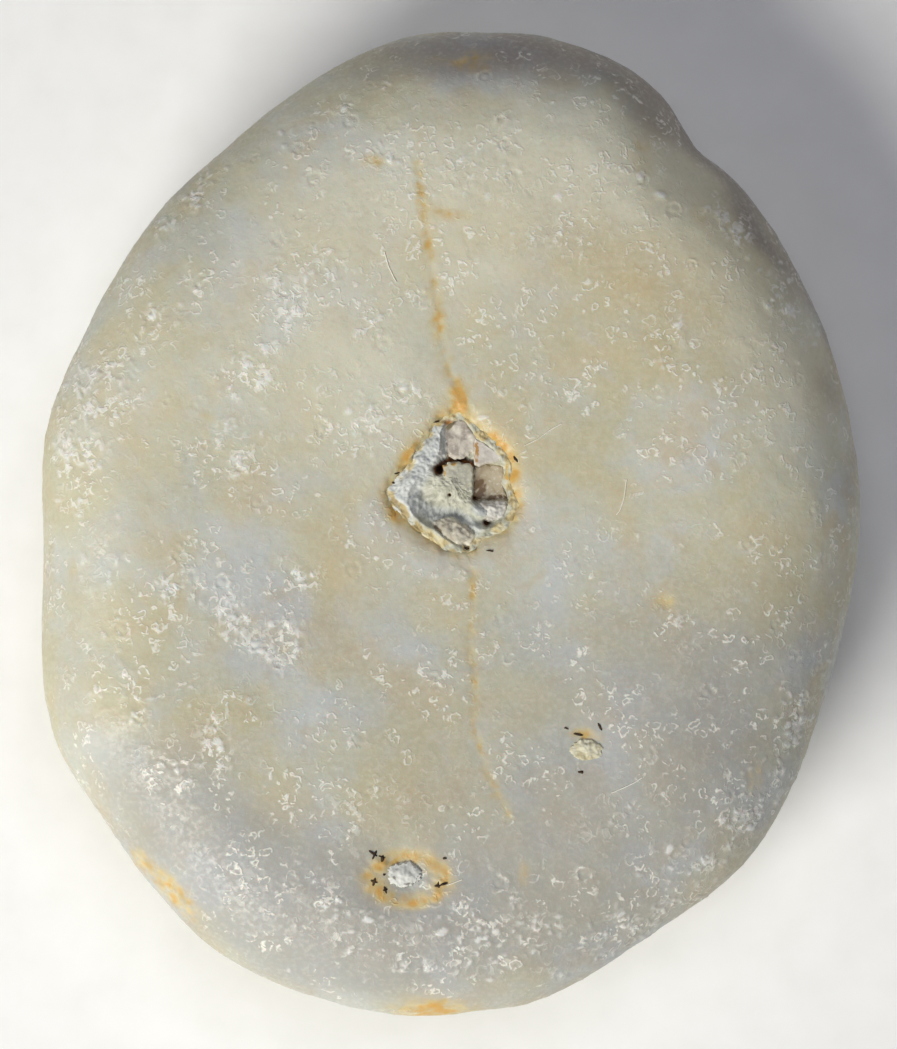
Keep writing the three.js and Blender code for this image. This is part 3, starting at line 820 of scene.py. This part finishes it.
def packing_level(points, outside):
    """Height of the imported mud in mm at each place."""
    left = smoothstep(-points[:, 0], -0.25, 0.35)
    level = 5.67 + 0.18 * left * (1 - smoothstep(-outside, 0.1, 0.8))
    level += 0.2 * spot(points, 0.0, 0.85, 0.42, 0.34) + 0.25 * spot(points, 0.66, 0.34, 0.3, 0.2, -20)
    level += 0.15 * spot(points, 0.68, -0.12, 0.35, 0.12, -10) + 0.2 * patches(points, WHITE_CRUST[:4])
    level += 0.22 * smoothstep(outside, -0.22, 0.0)
    level -= 0.02 * band(from_line(points, TROUGH), 0, 0.12)
    level -= 0.25 * band(from_line(points, CRACK), 0, 0.07)
    level -= 0.1 * spot(points, -0.12, 2.05, 0.2, 0.45)
    from_chip = np.maximum(np.abs(points[:, 0] - 0.98) / 0.42, np.abs(points[:, 1] - 0.97) / 0.45)
    level -= 0.24 * (1 - smoothstep(from_chip, 0.85, 1.1))
    for x, y, r in HOLES:
        level -= 0.35 * spot(points, x, y, r)
    crumbled = 0.04 * rough(points, 0.22, 61, 2) + 0.025 * rough(points, 0.07, 62)
    crumbled += 0.01 * rough(points, 0.03, 63)
    under_rim = 5.97 - 0.11 * smoothstep(outside, -0.2, 0.03)
    return np.minimum(level, under_rim) + crumbled - 0.08 * smoothstep(outside, 0.06, 0.25)


packing_bm = merged_copy("mouth_sediment")
for _ in range(3):
    upper = [e for e in packing_bm.edges if min(v.co.z for v in e.verts) > PACKING_TOP * MM]
    bmesh.ops.subdivide_edges(packing_bm, edges=upper, cuts=1, use_grid_fill=True, use_single_edge=True)
bmesh.ops.triangulate(packing_bm, faces=packing_bm.faces)
packing_mesh = meshed(packing_bm, "mouth_packing")
points = read_points(packing_mesh)
away = points[:, :2] - MOUTH
grow = np.where(np.linalg.norm(away, axis=1) > 0.6, 1.2, 1)  # under the shell's rim, to leave no gap
points[:, :2] = MOUTH + away * grow[:, None]
outside = rim_distance(points)
upper = points[:, 2] > PACKING_TOP
points[upper, 2] = packing_level(points[upper], outside[upper])
set_points(packing_mesh, points)
from_crack = from_line(points, CRACK) * (1 + 0.8 * rough(points, 0.12, 64))
cracks = band(from_crack, 0, 0.1) + sum(spot(points, x, y, 1.4 * r) for x, y, r in HOLES)
# The rust layer is part rust and part painted shade: dark in the cracks and holes, round the sunken right
# chip, and in the corner under the rim by the front chip.
set_attributes(
    packing_mesh, white=patches(points, WHITE_CRUST), trough=band(from_line(points, TROUGH), 0, 0.2),
    rust=cracks + 0.4 * spot(points, 1.0, 1.0, 0.5, 0.6) + 0.8 * spot(points, -0.05, 2.42, 0.18, 0.1),
    buff=band(outside, 0.04, 0.14) * (0.8 + 1.5 * rough(points, 0.2, 66)),
)

# Dried lime mud: matt, crumbly, white where it is chalky, with grey clay, and rust in its cracks and holes;
# painted shade darkens the cracks, the holes, the mud round the sunken right chip and the corner under the
# rim by the front chip.
mud = material("dried_lime_mud")
place = node(mud, "ShaderNodeTexCoord")
mm_place = node(mud, "ShaderNodeMapping", Vector=(place, "Object"), Scale=(1000, 1000, 1000))
crumbs, lumps, smears = (
    node(mud, "ShaderNodeTexNoise", Vector=mm_place, Scale=0.5 / size, Detail=3, Distortion=swirl)
    for size, swirl in ((0.04, 0.3), (0.12, 0.8), (0.18, 0.6))
)
white, trough, rust, buff = (
    (node(mud, "ShaderNodeAttribute", {"attribute_name": name}), "Fac")
    for name in ("white", "trough", "rust", "buff")
)
MUD_TONES = [
    (lumps, [(0.34, "#ABAB98"), (0.5, "#C2C1AD"), (0.66, "#D2D1C0")]),
    (lumps, [(0.32, "#9CA09D"), (0.5, "#BABEBA"), (0.68, "#D2D5D0")]),
    (lumps, [(0.32, "#B2B7B6"), (0.5, "#CED1CD"), (0.66, "#E4E5DF")]),
    # Rust tones, whose darkest end is painted shade in the cracks and holes.
    (smears, [(0.35, "#33210F"), (0.5, "#6E4116"), (0.66, "#B9761F")]),
    (smears, [(0.38, "#A08A56"), (0.5, "#CBB987"), (0.64, "#DED6B4")]),
]
pales, greys, whites, rust_and_shade_tones, buffs = (
    node(mud, "ShaderNodeValToRGB", {"stops": stops}, Fac=pattern) for pattern, stops in MUD_TONES
)
colour = pales
MUD_LAYERS = [
    (trough, 0.1, 0.9, 0.9, greys), (white, 0.2, 0.8, 1, whites), (buff, 0.3, 0.8, 0.9, buffs),
    (rust, 0.2, 0.9, 1, rust_and_shade_tones),
]
for driver, none, full, most, tint in MUD_LAYERS:
    amount = node(
        mud, "ShaderNodeMapRange", SMOOTH, Value=driver, From_Min=none, From_Max=full, To_Max=most,
    )
    colour = node(mud, "ShaderNodeMix", TINTED, Factor=amount, A=colour, B=tint)
bumps = node(mud, "ShaderNodeBump", Height=crumbs, Strength=0.5, Distance=0.02 * MM)
shader = node(mud, "ShaderNodeBsdfPrincipled", Base_Color=colour, Roughness=0.85, Normal=bumps)
node(mud, "ShaderNodeOutputMaterial", Surface=shader)
piece("mouth_packing", packing_mesh, mud, "mouth_sediment")


# Thin chips of shell lie in the mud, each its own colour, with broken edges, stained corners and painted
# shade where they lie under the rim or beside a higher neighbour. Crumbs of mud stand between them, and one
# sits in the vent and one in the bored pit, with painted shade along its lower edge.
def broken(node_name, grow, jag, relief, grain, seed):
    """A copy of a node with a finer net, spread out by grow, its outline broken up by jag and its faces
    roughened by relief mm."""
    made = merged_copy(node_name)
    for _ in range(3):
        bmesh.ops.subdivide_edges(made, edges=made.edges, cuts=1, use_grid_fill=True)
    bmesh.ops.triangulate(made, faces=made.faces)
    mesh = meshed(made, node_name)
    points, normals = read_points(mesh), read_normals(mesh)
    middle = points.mean(0)
    arm = points[:, :2] - middle[:2]
    reach = np.linalg.norm(arm, axis=1)
    flat = points * [1, 1, 0.3]
    wobble = jag * (rough(flat, grain, seed) + 0.7 * rough(flat, grain / 2.5, seed + 7))
    points[:, :2] += arm * (grow - 1 + wobble * smoothstep(reach / reach.max(), 0.3, 0.8))[:, None]
    points += normals * (relief * rough(points, grain, seed + 3, 2))[:, None]
    set_points(mesh, points)
    mesh.set_sharp_from_angle(angle=math.radians(50))
    return mesh


# Each chip or crumb: its node and slot, then how far it is spread, its broken edge, its relief and the
# grain of that in mm, its light and dark colours and the colour of its stains and painted shade, its
# roughness, and those stains and that shade as patches.
LODGED = {
    # The front chip's dark olive corner is painted shade, where it lies under the rim.
    "chip_front": (
        "mouth_chip_front", "pinkish_chip", (1.12, 0.18, 0.035, 0.2),
        ("#CDC5B6", "#A2978A", "#6E6340"), 0.5, [(-0.1, 2.38, 0.24, 0.16, 20, 1)],
    ),
    "chip_front_right": (
        "mouth_chip_front_right", "white_chip", (1.15, 0.15, 0.015, 0.2),
        ("#DAD5CC", "#C6BDB0", "#B0813C"), 0.55, [(0.62, 1.75, 0.07, 0.3, 0, 1)],
    ),
    # The right chip's brown at its lower left is painted shade from the middle chip beside it.
    "chip_right": (
        "mouth_chip_right", "tan_chip", (1.16, 0.16, 0.015, 0.22), ("#BBAF94", "#A09072", "#634823"), 0.45,
        [(0.62, 0.8, 0.22, 0.3, -35, 1.1), (1.15, 0.62, 0.3, 0.08, 0, 0.9)],
    ),
    "chip_middle": (
        "mouth_chip_middle", "cream_chip", (1.1, 0.18, 0.02, 0.2), ("#CAC6AE", "#B4B2A0", "#C09A58"), 0.5,
        [(-0.18, 1.22, 0.07, 0.2, 0, 1), (0.1, 1.42, 0.3, 0.05, 5, 0.7)],
    ),
    "crumb_right": (
        "mouth_crumb_right", "cream_crumb", (1.12, 0.2, 0.05, 0.16), ("#D6D3CA", "#B2ACA0", "#3E3426"), 0.6,
        [(1.42, 0.35, 0.05, 0.2, 0, 1)],
    ),
    "crumb_back": (
        "mouth_crumb_back", "cream_crumb", (1.2, 0.2, 0.05, 0.18), ("#D8D2BE", "#B8B09C", "#6A5C42"), 0.65,
        [(-0.3, -0.2, 0.08, 0.25, 40, 0.7)],
    ),
    "vent_crumb": (
        "vent_sediment", "grey_sediment", (0.86, 0.2, 0.025, 0.15), ("#D6D7D1", "#ABACA8", "#8A867C"), 0.6,
        [(-1.35, -8.6, 0.1, 0.05, -50, 1), (-0.98, -8.72, 0.2, 0.04, 10, 0.9),
         (-1.1, -8.85, 0.14, 0.04, 0, 0.8)],
    ),
    # The pit crumb's brown band along its lower edge is painted shade from the pit's hollow.
    "pit_crumb": (
        "pit_sediment", "buff_sediment", (1.0, 0.2, 0.03, 0.13), ("#D8D4BA", "#BEB48E", "#867A62"), 0.6,
        [(3.3, -5.8, 0.35, 0.06, 0, 1), (3.72, -5.55, 0.07, 0.12, 0, 0.7)],
    ),
}
for seed, (name, (node_name, slot_name, shape, colours, roughness, stains_and_painted_shades)) in enumerate(LODGED.items()):
    mesh = broken(node_name, *shape, 70 + 10 * seed)
    points = read_points(mesh)
    set_attributes(mesh, stain=patches(points, stains_and_painted_shades) * (1 + 0.8 * rough(points, 0.1, 65)))
    light, dark, stain = colours
    finish = material("broken_shell_" + name if "chip" in name else "lime_mud_" + name)
    place = node(finish, "ShaderNodeTexCoord")
    clouds = node(
        finish, "ShaderNodeTexNoise", Vector=(place, "Object"), Scale=3100, Detail=3, Distortion=0.6,
    )
    specks = node(finish, "ShaderNodeTexNoise", Vector=(place, "Object"), Scale=14000, Detail=2)
    tint_mask = node(finish, "ShaderNodeAttribute", {"attribute_name": "stain"})
    ragged = node(
        finish, "ShaderNodeMapRange", Value=clouds, From_Min=0.3, From_Max=0.7, To_Min=0.3, To_Max=1.6,
    )
    tint_mask = node(finish, "ShaderNodeMath", MULTIPLY, Value=(tint_mask, "Fac"), Value_001=ragged)
    colour = light
    # The last layer lays on the stains and the painted shade listed for each chip or crumb.
    for driver, none, full, most, tint in (
        (clouds, 0.38, 0.66, 1, dark), (specks, 0.5, 0.72, 0.4, "#E8E5DC"),
        (tint_mask, 0.3, 0.6, 0.95, stain),
    ):
        amount = node(
            finish, "ShaderNodeMapRange", SMOOTH, Value=driver, From_Min=none, From_Max=full, To_Max=most,
        )
        colour = node(finish, "ShaderNodeMix", TINTED, Factor=amount, A=colour, B=tint)
    bumps = node(finish, "ShaderNodeBump", Height=specks, Strength=0.4, Distance=0.015 * MM)
    shader = node(
        finish, "ShaderNodeBsdfPrincipled", Base_Color=colour, Normal=bumps, IOR=1.55, Roughness=roughness,
    )
    node(finish, "ShaderNodeOutputMaterial", Surface=shader)
    piece(name, mesh, finish, node_name)
